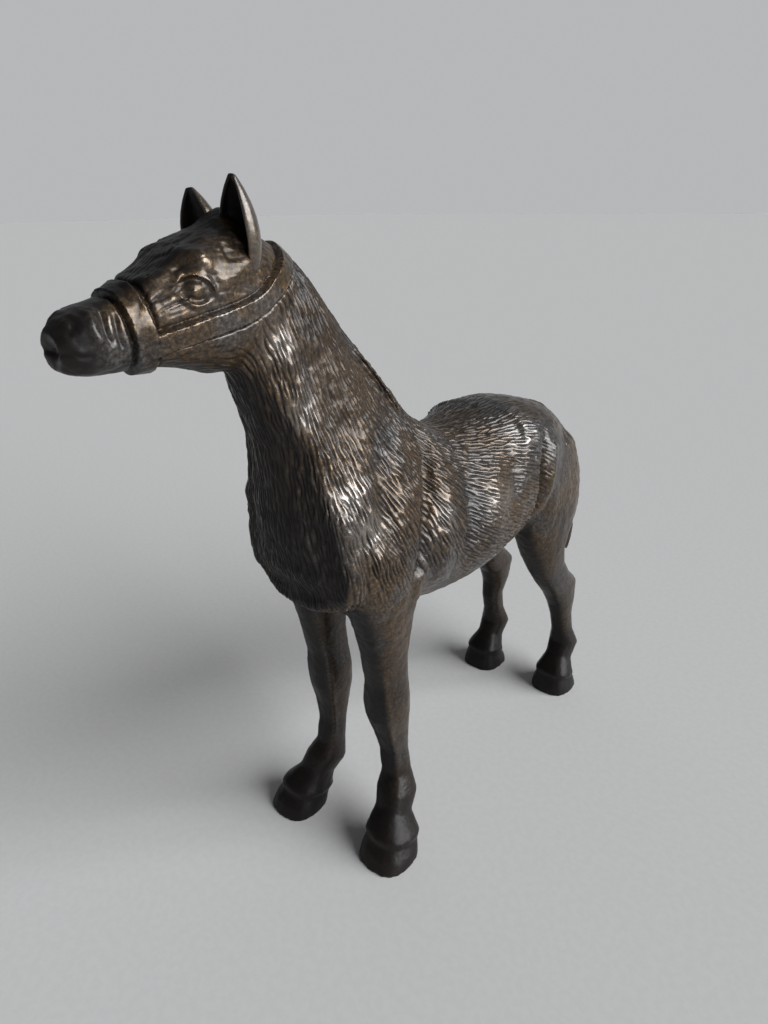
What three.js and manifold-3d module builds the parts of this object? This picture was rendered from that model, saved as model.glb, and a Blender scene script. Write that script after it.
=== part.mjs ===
// A small bronze horse that stands on its own four hooves, wearing a plain halter.
//
// It is a sectional casting. One sculpted form is lofted from its side-view outlines, and saw
// cuts part it into the castings that a foundry would pour: body, neck, head and four legs.
// Body and neck are hollow, and the hole that their core leaves in the belly has a plug. Tail,
// ears, mane and the straps of the halter are cast apart and laid on. Dowels line the castings
// up, and a sleeve does so where the hollow neck meets the hollow body.
//
// Units are millimetres, +Z is up, the horse faces -Y and its left side is +X. The origin is on
// the ground, under the middle of the box around the whole horse.
import * as THREE from 'three';
import { LoftGeometry } from 'three/addons/geometries/LoftGeometry.js';
import { mergeVertices } from 'three/addons/utils/BufferGeometryUtils.js';
import Module from 'manifold-3d';

// Driving dimensions.
const WITHERS = 150; // ground to the top of the withers
const GAP = 0.3; // clearance between neighbouring pieces
const WALL = 4.5; // thickness of the hollow castings
const STRAP = 1.1; // thickness of the halter's straps
const STRAP_WIDTH = 4.6; // width of the halter's straps
const LEG_SEAM = 80; // ground to the cut between the legs and the body
const DOWEL_RADIUS = 2;
const DOWEL_LENGTH = 14;
const TAIL_DOWEL_RADIUS = 1.5;
const CORE_HOLE_RADIUS = 5; // the hole in the belly
const FAR = 400; // larger than the horse, for cutting blocks

// The sides that each kind of round shape has, and the steps along a curved strap.
const SEGMENTS = { trunk: 32, head: 28, leg: 16, tail: 14, dowel: 20, plug: 28 };
const STRAP_STEPS = 16;

const UNIT = WITHERS / 150; // the outlines below are drawn for withers at 150

const BRONZE = new THREE.MeshStandardMaterial({ color: 0x4a3a2c, roughness: 0.45, metalness: 0.85 });
const DARK_BRONZE = new THREE.MeshStandardMaterial({ color: 0x2b2523, roughness: 0.5, metalness: 0.8 });
const STRAP_BRONZE = new THREE.MeshStandardMaterial({ color: 0x5a4632, roughness: 0.42, metalness: 0.85 });
const DOWEL_METAL = new THREE.MeshStandardMaterial({ color: 0x9a7440, roughness: 0.4, metalness: 0.9 });

const wasm = await Module();
wasm.setup();

// --- Solids and meshes -------------------------------------------------------------------

// A closed three.js geometry as a manifold-3d solid.
function solid(geometry) {
  const bare = new THREE.BufferGeometry();
  bare.setAttribute('position', geometry.getAttribute('position'));
  bare.setIndex(geometry.index);
  const merged = mergeVertices(bare, 1e-4);
  return new wasm.Manifold(new wasm.Mesh({
    numProp: 3,
    vertProperties: Float32Array.from(merged.attributes.position.array),
    triVerts: Uint32Array.from(merged.index.array),
  }));
}

// A manifold-3d solid as a named mesh.
function meshOf(name, body, material) {
  const made = body.getMesh();
  const geometry = new THREE.BufferGeometry();
  const positions = new Float32Array(made.numVert * 3);
  for (let i = 0; i < made.numVert; i++) {
    positions.set(made.vertProperties.subarray(i * made.numProp, i * made.numProp + 3), i * 3);
  }
  geometry.setAttribute('position', new THREE.BufferAttribute(positions, 3));
  geometry.setIndex(new THREE.BufferAttribute(made.triVerts, 1));
  geometry.computeVertexNormals();
  const mesh = new THREE.Mesh(geometry, material);
  mesh.name = name;
  return mesh;
}

const union = (...bodies) => bodies.reduce((all, body) => all.add(body));

// --- Lofts from side-view outlines ---------------------------------------------------------

// A station of a loft. upper and lower are the [y, z] points where the section meets the two
// outlines of the side view. wide is its half width, mid the place of its widest level between
// lower (0) and upper (1), x its centre, and crown and keel the roundness of its two halves:
// 2 is an ellipse, less is pointed and more is boxy.
const station = (upper, lower, wide, { mid = 0.5, x = 0, crown = 2, keel = 2 } = {}) =>
  [...upper, ...lower, wide, mid, x, crown, keel];

// Stations in between the given ones, on smooth curves through them.
function refine(stations, steps) {
  const made = [];
  const at = (i) => stations[Math.min(Math.max(i, 0), stations.length - 1)];
  for (let i = 0; i < stations.length - 1; i++) {
    for (let k = 0; k < steps; k++) {
      const t = k / steps;
      made.push(at(i).map((_, n) => between(at(i - 1)[n], at(i)[n], at(i + 1)[n], at(i + 2)[n], t)));
    }
  }
  made.push(at(stations.length - 1));
  return made;
}

// The value a part t of the way from b to c, on the Catmull-Rom curve through a, b, c and d.
function between(a, b, c, d, t) {
  const slopeB = (c - a) / 2;
  const slopeC = (d - b) / 2;
  const bend = 3 * (c - b) - 2 * slopeB - slopeC;
  const twist = 2 * (b - c) + slopeB + slopeC;
  return b + slopeB * t + bend * t ** 2 + twist * t ** 3;
}

const rounded = (value, roundness) => Math.sign(value) * Math.abs(value) ** (2 / roundness);

// The ring of points of one station, grown outwards by grow.
function ring([uy, uz, ly, lz, wide, mid, x, crown, keel], segments, grow) {
  const along = new THREE.Vector3(0, uy - ly, uz - lz);
  const depth = along.length();
  along.normalize();
  const centre = new THREE.Vector3(x, ly, lz).addScaledVector(along, depth * mid);
  const points = [];
  for (let i = 0; i < segments; i++) {
    const angle = (i / segments) * Math.PI * 2;
    const over = Math.sin(angle) > 0;
    const reach = (over ? depth * (1 - mid) : depth * mid) + grow;
    const roundness = over ? crown : keel;
    points.push(centre.clone()
      .addScaledVector(along, reach * rounded(Math.sin(angle), roundness))
      .add(new THREE.Vector3((wide + grow) * rounded(Math.cos(angle), roundness), 0, 0))
      .multiplyScalar(UNIT));
  }
  return points;
}

// A capped loft through stations. A grown one also reaches further at both ends.
function loft(stations, { segments, steps = 2, grow = 0 }) {
  const rings = refine(stations, steps).map((s) => ring(s, segments, grow));
  if (grow !== 0) {
    const last = rings.length - 1;
    rings[0] = moved(rings[0], rings[1], grow);
    rings[last] = moved(rings[last], rings[last - 1], grow);
  }
  return solid(new LoftGeometry(rings, { capStart: true, capEnd: true }));
}

// A ring moved away from its neighbour.
function moved(end, neighbour, distance) {
  const away = middle(end).sub(middle(neighbour)).normalize().multiplyScalar(distance);
  return end.map((p) => p.clone().add(away));
}

const middle = (points) => points
  .reduce((sum, p) => sum.add(p), new THREE.Vector3())
  .divideScalar(points.length);

// --- Cutters ---------------------------------------------------------------------------------

// The half of space on the left of the side-view line from a to b, seen from +X, less a margin.
function leftOf([a, b], margin = 0) {
  const block = new THREE.BoxGeometry(FAR, FAR, FAR);
  block.translate(0, 0, FAR / 2 + margin);
  block.rotateX(Math.atan2(b[1] - a[1], b[0] - a[0]));
  block.translate(0, (a[0] + b[0]) / 2 * UNIT, (a[1] + b[1]) / 2 * UNIT);
  return solid(block);
}

const reversed = ([a, b]) => [b, a];

// A block between two corners.
function block(from, to) {
  const size = to.map((value, i) => value - from[i]);
  const box = new THREE.BoxGeometry(...size);
  box.translate(...from.map((value, i) => value + size[i] / 2));
  return solid(box);
}

// A rod between two points.
function rod(from, to, radius, segments = SEGMENTS.dowel) {
  const start = new THREE.Vector3(...from);
  const way = new THREE.Vector3(...to).sub(start);
  const cylinder = new THREE.CylinderGeometry(radius, radius, way.length(), segments);
  cylinder.translate(0, way.length() / 2, 0);
  cylinder.applyQuaternion(new THREE.Quaternion().setFromUnitVectors(
    new THREE.Vector3(0, 1, 0), way.clone().normalize()));
  cylinder.translate(...start);
  return solid(cylinder);
}

// A block across the whole horse whose side view is a band of even width along a smooth path.
function band(path, width) {
  const curve = new THREE.SplineCurve(path.map(([y, z]) => new THREE.Vector2(y * UNIT, z * UNIT)));
  const edge = (side) => Array.from({ length: STRAP_STEPS + 1 }, (_, i) => {
    const along = curve.getTangent(i / STRAP_STEPS);
    const outwards = new THREE.Vector2(-along.y, along.x).multiplyScalar(side * width / 2);
    return curve.getPoint(i / STRAP_STEPS).add(outwards);
  });
  const outline = new THREE.Shape([...edge(1), ...edge(-1).reverse()]);
  const slab = new THREE.ExtrudeGeometry(outline, { depth: FAR, bevelEnabled: false });
  // The outline's x and y become the horse's y and z, and its depth becomes x.
  slab.applyMatrix4(new THREE.Matrix4().makeBasis(
    new THREE.Vector3(0, 1, 0), new THREE.Vector3(0, 0, 1), new THREE.Vector3(1, 0, 0)));
  slab.translate(-FAR / 2, 0, 0);
  return solid(slab);
}

// --- The form --------------------------------------------------------------------------------

const TORSO = [
  station([66, 124], [68, 115], 6),
  station([62.5, 130], [66.5, 108], 12),
  station([56, 134.5], [62, 102], 17, { crown: 2.2 }),
  station([46, 138.8], [50, 95.5], 21, { mid: 0.52, crown: 2.6 }),
  station([33, 141.8], [36, 89], 23.5, { mid: 0.52, crown: 2.8 }),
  station([19, 141.4], [20, 85], 25, { mid: 0.5, crown: 2.6 }),
  station([4, 139.4], [4, 82.8], 26, { mid: 0.48, crown: 2.2 }),
  station([-11, 141], [-12, 82.8], 26, { mid: 0.46, crown: 1.8 }),
  station([-24, 148.5], [-26, 84], 24.5, { mid: 0.44, crown: 1.7 }),
  station([-34, 150], [-40, 87], 23.5, { mid: 0.44, crown: 1.8 }),
  station([-46, 146], [-54, 91], 22.5, { mid: 0.44, keel: 2.3 }),
  station([-58, 138], [-65.5, 97.5], 20.5, { mid: 0.45, keel: 2.4, crown: 2.4 }),
  station([-67, 129], [-73, 105.5], 17.5, { mid: 0.45, keel: 2.6, crown: 2.7 }),
  station([-72, 122], [-76.3, 113], 11.5, { mid: 0.45, keel: 2.6, crown: 2.7 }),
];

const NECK = [
  station([-10, 138], [-66, 100], 19),
  station([-21.5, 147.5], [-76, 114], 20, { mid: 0.42, crown: 1.7, keel: 2.6 }),
  station([-29, 156], [-78, 126], 18, { mid: 0.4, crown: 1.6, keel: 2.5 }),
  station([-37, 164.6], [-78.6, 138], 15.5, { mid: 0.42, crown: 1.6, keel: 2.3 }),
  station([-45.3, 173], [-79.8, 149.5], 13.2, { mid: 0.44, crown: 1.6 }),
  station([-54, 183.3], [-82.8, 160.5], 11.5, { mid: 0.45, crown: 1.7 }),
  station([-62, 193.4], [-87, 169.5], 10, { mid: 0.45, crown: 1.8 }),
  station([-68, 196.5], [-90, 174], 8, { mid: 0.45 }),
];

const HEAD = [
  station([-61, 189], [-72, 179], 6),
  station([-66.5, 195.5], [-80, 173.5], 9, { mid: 0.5 }),
  station([-74, 200.6], [-87, 171.5], 10.6, { mid: 0.55 }),
  station([-82, 204], [-92, 172], 11.6, { mid: 0.6, crown: 2.3 }),
  station([-90, 203.6], [-97, 173.8], 11.8, { mid: 0.64, crown: 2.6 }),
  station([-97.5, 200.6], [-102, 175.2], 10.8, { mid: 0.62, crown: 2.6 }),
  station([-104.5, 196.4], [-107, 176], 8.8, { mid: 0.55, crown: 2.5 }),
  station([-110.5, 192.8], [-111.5, 176.3], 7.4, { mid: 0.5, crown: 2.4 }),
  station([-116, 191], [-116.5, 176.3], 7, { mid: 0.5, crown: 2.4 }),
  station([-121, 189.8], [-121, 176.5], 7.2, { mid: 0.54, crown: 2.4 }),
  station([-124.6, 187.8], [-124, 177], 6.4, { mid: 0.56, crown: 2.4 }),
  station([-126.9, 184.8], [-126.4, 178.6], 4, { mid: 0.5 }),
];

// One level of a left leg: its front and back points [y, z], its half width and its place x.
const level = (front, back, wide, x, roundness = 2.6) =>
  station(front, back, wide, { x, crown: roundness, keel: roundness });

// From the shoulder blade down to the hoof's sole.
const FORELEG = [
  level([-48, 141], [-26, 140], 4, 11),
  level([-57, 131], [-27, 129], 7.5, 13.5),
  level([-63.5, 118], [-29, 115], 9.6, 14.5),
  level([-62.5, 106], [-32, 103], 9.6, 14.5),
  level([-59, 94.5], [-37.5, 92.5], 8.4, 14),
  level([-56, 84], [-38.5, 83], 7.2, 13.7),
  level([-54, 75], [-39.2, 74.4], 6.2, 13.5),
  level([-52, 66], [-38.4, 65.5], 5.8, 13.2),
  level([-52, 58.5], [-37.5, 58], 6.3, 13),
  level([-51.4, 51.5], [-37.3, 51], 6, 13),
  level([-48.8, 44.5], [-37.6, 44], 4.8, 13.3),
  level([-46.3, 35.5], [-38, 35], 4, 13.8),
  level([-47, 27], [-37.6, 26], 4.4, 14.6),
  level([-50.5, 21.5], [-37.2, 17.8], 6.3, 16),
  level([-53, 16.5], [-41.8, 11.8], 5.6, 17.5),
  level([-58.4, 11.3], [-42.2, 7.6], 8, 19.6),
  level([-59.6, 9.6], [-41.8, 6.4], 8.7, 19.8),
  level([-59, 8.4], [-42.8, 5.4], 7.8, 20),
  level([-62, 4.2], [-44.2, 3], 8.9, 20.6),
  level([-64, 0], [-45, 0], 9.5, 21),
];

// From the top of the haunch down to the sole.
const HINDLEG = [
  level([38, 133], [56, 130], 5, 10),
  level([31, 124], [63.5, 122], 8, 13),
  level([29.5, 113], [67.5, 112], 9, 13.5),
  level([30, 104], [69, 103], 9.3, 14),
  level([31.5, 93], [68.8, 94], 9.2, 14.2),
  level([35, 84.5], [64, 86], 8.6, 14.5),
  level([39.5, 75.5], [59.3, 77.5], 7.5, 15),
  level([45, 67], [60.8, 69.5], 6.7, 15.3),
  level([50.5, 59.5], [66.5, 62], 6.2, 15.6),
  level([57, 52], [74, 55.5], 6, 15.8),
  level([62, 44.5], [74.2, 46.5], 5.2, 16),
  level([65, 37], [74, 38], 4.2, 16.2),
  level([67.5, 28.5], [76, 28.5], 4.2, 16.4),
  level([68.5, 22.5], [80.2, 19.8], 5.9, 16.6),
  level([65.5, 17], [76, 12.5], 5.1, 16.7),
  level([60.8, 11.5], [74.2, 7.8], 7.5, 17),
  level([59.6, 9.8], [74.8, 6.6], 8.1, 17),
  level([60.2, 8.6], [74.2, 5.6], 7.3, 17),
  level([58.8, 4.2], [76, 3.2], 8.4, 17),
  level([57.8, 0], [77, 0], 9.1, 17),
];

const TAIL = [
  station([50, 131], [54, 137], 3),
  station([59, 128.5], [63, 133.4], 4.4, { x: 0.3 }),
  station([65, 122], [70.8, 126.4], 5, { x: 0.6 }),
  station([69.5, 113], [77.2, 115], 5.2, { x: 1 }),
  station([72.5, 102], [81.3, 103], 5.6, { x: 1.6 }),
  station([75.5, 89], [85, 89], 6.1, { x: 2.4 }),
  station([81, 73], [91, 72], 6.4, { x: 3 }),
  station([82, 62], [88.6, 60], 5.2, { x: 3 }),
];

// The right leg to a left one: mirrored and set apart, with every level below the top ones set
// forward by stride and towards the middle by gather, more so the lower it is.
function mirrored(leg, { apart, stride, gather, from, to }) {
  return leg.map(([fy, fz, by, bz, wide, mid, x, crown, keel]) => {
    const share = THREE.MathUtils.smoothstep(from - fz, 0, from - to);
    const place = gather * share - apart - x;
    return [fy - stride * share, fz, by - stride * share, bz, wide, mid, place, crown, keel];
  });
}

const torso = (grow = 0) => loft(TORSO, { segments: SEGMENTS.trunk, grow });
const neck = (grow = 0) => loft(NECK, { segments: SEGMENTS.head, grow });
const skull = (grow = 0) => loft(HEAD, { segments: SEGMENTS.head, grow });
const leg = (levels) => loft(levels, { segments: SEGMENTS.leg, steps: 1 });

const legs = {
  left_foreleg: leg(FORELEG),
  right_foreleg: leg(mirrored(FORELEG, { apart: 1, stride: 4.5, gather: 2, from: 55, to: 20 })),
  left_hindleg: leg(HINDLEG),
  right_hindleg: leg(mirrored(HINDLEG, { apart: 1, stride: 5, gather: 0, from: 50, to: 36 })),
};
const form = union(torso(), neck(), skull(), ...Object.values(legs));

// The hollow inside the body and the neck, smaller all round by inset.
const CORE_TORSO = TORSO.slice(2, -2);
const CORE_NECK = NECK.slice(0, -2);
const core = (inset = 0) => union(
  loft(CORE_TORSO, { segments: SEGMENTS.head, steps: 1, grow: -WALL - inset }),
  loft(CORE_NECK, { segments: SEGMENTS.head, steps: 1, grow: -WALL - inset }),
);

// --- Joints between the castings ---------------------------------------------------------------

const NECK_JOINT = [[-80, 122], [-26, 153]]; // from the chest up to the withers
const HEAD_JOINT = [[-89, 171.5], [-66, 200]]; // from the throat up to the poll
const BELOW_SEAM = block([-FAR, -FAR, -FAR], [FAR, FAR, LEG_SEAM]);
const ABOVE_SEAM = block([-FAR, -FAR, LEG_SEAM + GAP], [FAR, FAR, FAR]);

// The middle of each leg's cut, [x, y].
const LEG_CUTS = {
  left_foreleg: [13.6, -47],
  right_foreleg: [-13.6, -47],
  left_hindleg: [14.8, 50],
  right_hindleg: [-14.8, 50],
};

// The two ends of a dowel that crosses a joint in its middle, square to it.
function across(line) {
  const [a, b] = line.map(([y, z]) => new THREE.Vector3(0, y, z));
  const normal = b.clone().sub(a).normalize().applyAxisAngle(new THREE.Vector3(1, 0, 0), Math.PI / 2);
  const middleOfCut = a.add(b).multiplyScalar(0.5);
  return [-1, 1].map((side) => middleOfCut.clone()
    .addScaledVector(normal, side * DOWEL_LENGTH / 2)
    .multiplyScalar(UNIT)
    .toArray());
}

// The two ends of each dowel, and its radius.
const TAIL_DOWEL_ENDS = [[0.6, 58, 121], [0.6, 69.6, 121]];
const DOWELS = {
  head_dowel: [...across(HEAD_JOINT), DOWEL_RADIUS],
  tail_dowel: [...TAIL_DOWEL_ENDS, TAIL_DOWEL_RADIUS],
};
for (const [name, [x, y]] of Object.entries(LEG_CUTS)) {
  const ends = [LEG_SEAM - DOWEL_LENGTH / 2, LEG_SEAM + DOWEL_LENGTH / 2].map((z) => [x, y, z]);
  DOWELS[`${name}_dowel`] = [...ends, DOWEL_RADIUS];
}
const dowel = ([from, to, radius]) => rod(from, to, radius);

// The hole for a dowel, larger all round by the clearance.
function dowelHole([from, to, radius]) {
  const start = new THREE.Vector3(...from);
  const end = new THREE.Vector3(...to);
  const spare = end.clone().sub(start).setLength(GAP);
  return rod(start.sub(spare).toArray(), end.add(spare).toArray(), radius + GAP);
}
const dowelHoles = union(...Object.values(DOWELS).map(dowelHole));

const CORE_HOLE = [[0, 4, 70], [0, 4, 95]]; // the ends of a rod through the belly's wall

// --- Castings ----------------------------------------------------------------------------------

const bodyCasting = () => form
  .intersect(ABOVE_SEAM)
  .intersect(leftOf(reversed(NECK_JOINT)))
  .subtract(core())
  .subtract(rod(...CORE_HOLE, CORE_HOLE_RADIUS, SEGMENTS.plug))
  .subtract(dowelHoles);

const neckCasting = () => form
  .intersect(leftOf(NECK_JOINT, GAP))
  .intersect(leftOf(reversed(HEAD_JOINT)))
  .subtract(core())
  .subtract(dowelHoles);

const headCasting = () => form
  .intersect(leftOf(HEAD_JOINT, GAP))
  .subtract(dowelHoles);

function legCasting(name) {
  const [x, y] = LEG_CUTS[name];
  const corner = [Math.sign(x) * FAR, Math.sign(y) * FAR];
  const quarter = block(
    [Math.min(corner[0], 0), Math.min(corner[1], 0), -FAR],
    [Math.max(corner[0], 0), Math.max(corner[1], 0), LEG_SEAM],
  );
  return form.intersect(quarter).subtract(dowelHoles);
}

const tailCasting = () => loft(TAIL, { segments: SEGMENTS.tail })
  .subtract(torso(GAP))
  .subtract(dowelHoles);

// The plug that closes the hole in the belly, as thick as the wall there.
const bellyPlug = () => form
  .intersect(rod(...CORE_HOLE, CORE_HOLE_RADIUS - GAP, SEGMENTS.plug))
  .subtract(core(-GAP));

// The sleeve inside the joint of neck and body.
const SLEEVE_WALL = 2;
const SLEEVE_REACH = 6; // to either side of the joint
const neckSleeve = () => core(GAP)
  .subtract(core(GAP + SLEEVE_WALL))
  .intersect(leftOf(NECK_JOINT, -SLEEVE_REACH))
  .intersect(leftOf(reversed(NECK_JOINT), -SLEEVE_REACH));

// --- Ears, mane and halter ---------------------------------------------------------------------

// A flattened upright horn between two points. It has the given half widths from base to tip, and
// is thinner the way it faces, by the flatness.
function cone(base, tip, widths, facing, flatness) {
  const way = tip.clone().sub(base);
  const sideways = new THREE.Vector3().crossVectors(facing, way).normalize();
  const deep = new THREE.Vector3().crossVectors(way, sideways).normalize();
  const rings = widths.map((width, i) => {
    const centre = base.clone().addScaledVector(way, i / (widths.length - 1));
    return Array.from({ length: SEGMENTS.leg }, (_, k) => {
      const angle = (k / SEGMENTS.leg) * Math.PI * 2;
      return centre.clone()
        .addScaledVector(sideways, Math.cos(angle) * width)
        .addScaledVector(deep, Math.sin(angle) * width * flatness)
        .multiplyScalar(UNIT);
    });
  });
  return solid(new LoftGeometry(rings, { capStart: true, capEnd: true }));
}

// The left ear. The right one is its mirror image.
const EAR_BASE = [6.6, -82.5, 194];
const EAR_TIP = [8.8, -86.2, 213];
const EAR_FACING = [0, -1, 0];
const EAR_WIDTHS = [4.2, 5, 5.3, 5.2, 4.7, 3.8, 2.4, 0.8]; // half widths from the base up
const EAR_DEPTH = 0.56; // how deep it is for its width
const HOLLOW_WIDTHS = [1, 3.2, 4.1, 4.2, 3.7, 2.9, 1.7, 0.4];
const HOLLOW_DEPTH = 0.72;
const HOLLOW_PLACE = 2.3; // how far in front of the ear's own middle its hollow lies
const HOLLOW_START = 4; // how far above the ear's base it begins
const HOLLOW_END = 1; // how far below the ear's tip it ends

// A pricked ear, hollow in front.
function ear(side) {
  const [base, tip, facing] = [EAR_BASE, EAR_TIP, EAR_FACING]
    .map(([x, y, z]) => new THREE.Vector3(side * x, y, z));
  const outer = cone(base, tip, EAR_WIDTHS, facing, EAR_DEPTH);
  const forward = facing.clone().setLength(HOLLOW_PLACE);
  const hollowBase = base.clone().add(forward).setZ(base.z + HOLLOW_START);
  const hollowTip = tip.clone().add(forward).setZ(tip.z - HOLLOW_END);
  const hollow = cone(hollowBase, hollowTip, HOLLOW_WIDTHS, facing, HOLLOW_DEPTH);
  return outer.subtract(hollow).subtract(skull(GAP)).subtract(neck(GAP));
}

const CROWNPIECE = [
  [-110, 181], [-105, 182.3], [-96.7, 184.3], [-85, 187],
  [-79, 190], [-73.5, 193.6], [-69.3, 198], [-66.6, 204],
];
const NOSEBAND = [[-112.6, 198], [-111.2, 188.9], [-109, 176], [-108.2, 170]];

// A sheet as thick as a strap, laid on the head and the top of the neck.
const wrap = () => union(skull(GAP + STRAP), neck(GAP + STRAP))
  .subtract(union(skull(GAP), neck(GAP)));

const noseband = () => wrap().intersect(band(NOSEBAND, STRAP_WIDTH));

const crownpiece = () => wrap()
  .intersect(band(CROWNPIECE, STRAP_WIDTH))
  .subtract(band(NOSEBAND, STRAP_WIDTH + 2 * GAP));

// The clipped mane, a ridge along the crest from behind the crownpiece to the withers.
const MANE_HEIGHT = 1;
const MANE_HALF_WIDTH = 2.6;
const MANE_START = -62;
const MANE_END = -23;
const BEHIND_THE_CREST = [[-70, 190], [-20, 130]];
const mane = () => neck(GAP + MANE_HEIGHT)
  .intersect(block([-MANE_HALF_WIDTH, MANE_START, 0], [MANE_HALF_WIDTH, MANE_END, FAR]))
  .intersect(leftOf(BEHIND_THE_CREST))
  .subtract(neck(GAP))
  .subtract(torso(GAP))
  .subtract(band(CROWNPIECE, STRAP_WIDTH + 2 * GAP));

// --- The horse -----------------------------------------------------------------------------------

const horse = new THREE.Group();
horse.add(meshOf('body_casting', bodyCasting(), BRONZE));
horse.add(meshOf('neck_casting', neckCasting(), BRONZE));
horse.add(meshOf('head_casting', headCasting(), BRONZE));
for (const name of Object.keys(legs)) {
  horse.add(meshOf(name, legCasting(name), DARK_BRONZE));
}
horse.add(meshOf('tail', tailCasting(), DARK_BRONZE));
horse.add(meshOf('left_ear', ear(1), DARK_BRONZE));
horse.add(meshOf('right_ear', ear(-1), DARK_BRONZE));
horse.add(meshOf('mane', mane(), BRONZE));
horse.add(meshOf('halter_noseband', noseband(), STRAP_BRONZE));
horse.add(meshOf('halter_crownpiece', crownpiece(), STRAP_BRONZE));
horse.add(meshOf('neck_joint_sleeve', neckSleeve(), DOWEL_METAL));
horse.add(meshOf('belly_core_plug', bellyPlug(), BRONZE));
for (const [name, ends] of Object.entries(DOWELS)) {
  horse.add(meshOf(name, dowel(ends), DOWEL_METAL));
}

// Set the middle of the horse's box over the origin.
const centre = new THREE.Box3().setFromObject(horse).getCenter(new THREE.Vector3());
horse.position.set(-centre.x, -centre.y, 0);

export default horse;
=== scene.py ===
"""A small bronze horse in a plain halter, standing on its own four hooves.

The skin starts from the CAD castings. They are joined into one form, given an even grain and
smoothed, and muscles, face, mane and halter are modelled on it with soft strokes. Short chisel
cuts that follow the coat are then chased into it, and it is parted into its castings again.
"""
import math
from itertools import product

import bpy
import numpy as np
from mathutils import Matrix, Vector
from mathutils.bvhtree import BVHTree
from mathutils.kdtree import KDTree

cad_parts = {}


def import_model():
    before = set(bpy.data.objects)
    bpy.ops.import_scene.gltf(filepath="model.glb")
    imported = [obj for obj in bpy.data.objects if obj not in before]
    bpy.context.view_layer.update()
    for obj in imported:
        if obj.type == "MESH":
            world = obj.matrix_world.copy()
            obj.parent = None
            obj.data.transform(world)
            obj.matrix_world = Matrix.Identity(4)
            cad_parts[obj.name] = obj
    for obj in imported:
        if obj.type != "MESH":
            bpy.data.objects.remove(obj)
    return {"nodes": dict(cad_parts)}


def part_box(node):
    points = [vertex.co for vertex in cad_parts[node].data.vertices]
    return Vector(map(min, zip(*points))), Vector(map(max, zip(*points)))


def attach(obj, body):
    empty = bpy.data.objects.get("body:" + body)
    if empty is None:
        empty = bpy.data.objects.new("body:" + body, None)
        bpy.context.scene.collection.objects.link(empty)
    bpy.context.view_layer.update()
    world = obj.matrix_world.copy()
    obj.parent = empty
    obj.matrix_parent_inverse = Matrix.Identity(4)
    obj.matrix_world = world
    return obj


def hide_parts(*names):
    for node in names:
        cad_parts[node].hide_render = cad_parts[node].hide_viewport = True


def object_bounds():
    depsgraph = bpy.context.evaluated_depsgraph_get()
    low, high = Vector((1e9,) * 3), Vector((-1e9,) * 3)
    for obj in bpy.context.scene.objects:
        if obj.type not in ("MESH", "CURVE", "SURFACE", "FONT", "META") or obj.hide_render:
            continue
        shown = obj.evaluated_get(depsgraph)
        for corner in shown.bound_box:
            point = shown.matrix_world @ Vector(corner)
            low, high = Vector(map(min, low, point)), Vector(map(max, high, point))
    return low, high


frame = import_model()
CAD_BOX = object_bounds()

# The strokes below are drawn in millimetres for a horse that is 213.1 mm tall, on its own
# middle plane, and measured from a point 69 mm in front of its buttocks, on the ground.
DRAWN_HEIGHT = 213.1
DRAWN_BUTTOCKS = 69.0
MM = (CAD_BOX[1].z - CAD_BOX[0].z) / DRAWN_HEIGHT
BODY_LOW, BODY_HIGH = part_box("body_casting")
ORIGIN = np.array([(BODY_LOW.x + BODY_HIGH.x) / 2, BODY_HIGH.y - DRAWN_BUTTOCKS * MM, 0.0])

GRAIN = 0.62  # size of a face of the smoothed form
GROWTH = 0.22  # how far the castings grow, so that they meet
FLANK = 0.25  # half the width of the slope at the edge of a strap
SIDES = (1, -1)  # the horse's left and its right
SEED = 7

CASTINGS = [
    "body_casting", "neck_casting", "head_casting", "tail", "belly_core_plug",
    "left_foreleg", "right_foreleg", "left_hindleg", "right_hindleg",
]
SLOTS = {
    "body_casting": "chased_bronze", "neck_casting": "chased_bronze",
    "head_casting": "chased_bronze", "mane": "chased_bronze",
    "belly_core_plug": "chased_bronze", "tail": "chased_bronze",
    "left_foreleg": "smooth_bronze", "right_foreleg": "smooth_bronze",
    "left_hindleg": "smooth_bronze", "right_hindleg": "smooth_bronze",
    "left_ear": "smooth_bronze", "right_ear": "smooth_bronze",
    "halter_noseband": "halter_bronze", "halter_crownpiece": "halter_bronze",
}


# --- Small helpers ---------------------------------------------------------------------------


def smoothstep(low, high, value):
    share = np.clip((value - low) / (high - low), 0, 1)
    return share * share * (3 - 2 * share)


def unit(vectors):
    return vectors / np.maximum(np.linalg.norm(vectors, axis=-1, keepdims=True), 1e-12)


def curve(points, steps=8):
    """Points on a smooth line through the given ones."""
    given = np.array(points, float)
    if len(given) < 3:
        return given
    padded = np.vstack([2 * given[0] - given[1], given, 2 * given[-1] - given[-2]])
    made = []
    for a, b, c, d in zip(padded, padded[1:], padded[2:], padded[3:]):
        for t in np.arange(steps) / steps:
            made.append(b + (c - a) * t / 2 + (2 * a - 5 * b + 4 * c - d) * t**2 / 2
                        + (3 * b - a - 3 * c + d) * t**3 / 2)
    made.append(given[-1])
    return np.array(made)


def distance_to(line, places):
    """Distance of each place to a line of points, and how far along the line it is, 0 to 1."""
    best = np.full(len(places), np.inf)
    along = np.zeros(len(places))
    count = max(len(line) - 1, 1)
    for i, (a, b) in enumerate(zip(line, line[1:])):
        way = b - a
        t = np.clip((places - a) @ way / max(way @ way, 1e-9), 0, 1)
        gap = np.linalg.norm(places - a - t[:, None] * way, axis=1)
        closer = gap < best
        best[closer] = gap[closer]
        along[closer] = (i + t[closer]) / count
    return best, along


# --- The skin --------------------------------------------------------------------------------


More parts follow.
